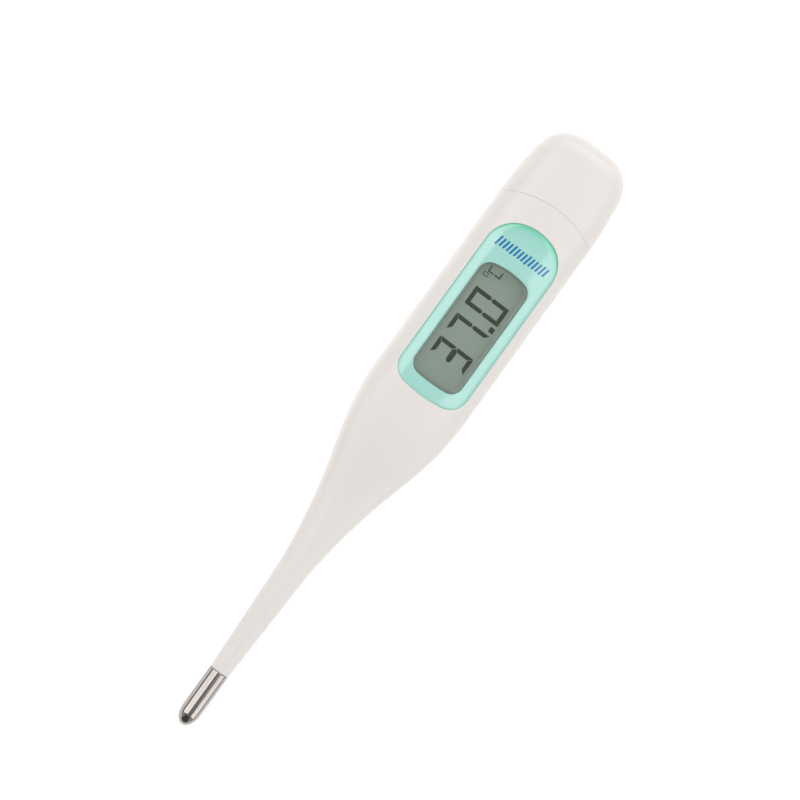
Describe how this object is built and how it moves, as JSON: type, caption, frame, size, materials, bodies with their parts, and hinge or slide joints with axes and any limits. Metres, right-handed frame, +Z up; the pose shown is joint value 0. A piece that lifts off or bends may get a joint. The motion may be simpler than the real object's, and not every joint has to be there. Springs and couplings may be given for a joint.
{
  "type": "digital thermometer",
  "caption": "Pen-shaped clinical thermometer: steel tip, tapered probe, broad handle with a framed display, pull-off battery cap and a press button on the back.",
  "frame": {"origin": "the middle of the length and width, on the flat back that the thermometer lies on", "axes": "+X along the length from the steel tip to the battery cap, +Y across the handle towards the top of the display's figures, +Z up out of the display"},
  "size_m": [0.132, 0.02, 0.0115],
  "materials": {
    "white_plastic": "smooth moulded, low gloss",
    "mint_plastic": "smooth moulded, glossy",
    "clear_plastic": "clear, polished",
    "grey_rubber": "matt",
    "lcd_face": "matt film",
    "lcd_glass": "polished glass",
    "reflector_foil": "satin",
    "zebra_rubber": "matt, striped",
    "inner_plastic": "moulded, satin",
    "board_laminate": "solder resist over glass laminate",
    "black_resin": "cast resin",
    "capacitor_ceramic": "fired ceramic",
    "spring_steel": "nickel plated",
    "brass": "rolled",
    "piezo_ceramic": "silvered ceramic",
    "polished_steel": "polished stainless steel",
    "potting_resin": "cast resin",
    "wire_red": "enamelled",
    "wire_black": "enamelled",
    "cell_steel": "nickel-plated can"
  },
  "bodies": {
    "handle": {"body_shell": "white_plastic", "window_frame": "mint_plastic", "display_pane": "clear_plastic", "window_gasket": "grey_rubber", "lcd_front_polariser": "lcd_face", "lcd_front_glass": "lcd_glass", "lcd_rear_glass": "lcd_glass", "lcd_reflector": "reflector_foil", "zebra_connector": "zebra_rubber", "lcd_holder": "inner_plastic", "circuit_board": "board_laminate", "controller_glob": "black_resin", "chip_capacitor_a": "capacitor_ceramic", "chip_capacitor_b": "capacitor_ceramic", "reference_resistor": "black_resin", "switch_base": "black_resin", "switch_dome": "spring_steel", "beeper_disc": "brass", "beeper_ceramic": "piezo_ceramic", "beeper_contact": "spring_steel", "probe_tip": "polished_steel", "tip_potting": "potting_resin", "thermistor_bead": "black_resin", "sensor_wire_a": "wire_red", "sensor_wire_b": "wire_black", "battery_tray": "inner_plastic", "button_cell": "cell_steel", "contact_positive": "spring_steel", "contact_negative": "spring_steel"},
    "cap": {"battery_cap": "white_plastic", "cap_seal_ring": "grey_rubber"},
    "button": {"power_button": "mint_plastic"}
  },
  "joints": [
    {"name": "cap_pull", "type": "slide", "parent": "handle", "child": "cap", "axis": [1, 0, 0], "range_m": [0, 0.02]},
    {"name": "button_press", "type": "slide", "parent": "handle", "child": "button", "axis": [0, 0, 1], "range_m": [0, 0.0005], "stiffness_N_per_m": 1500, "springref_m": -0.0003, "deforming": ["switch_dome"]}
  ]
}
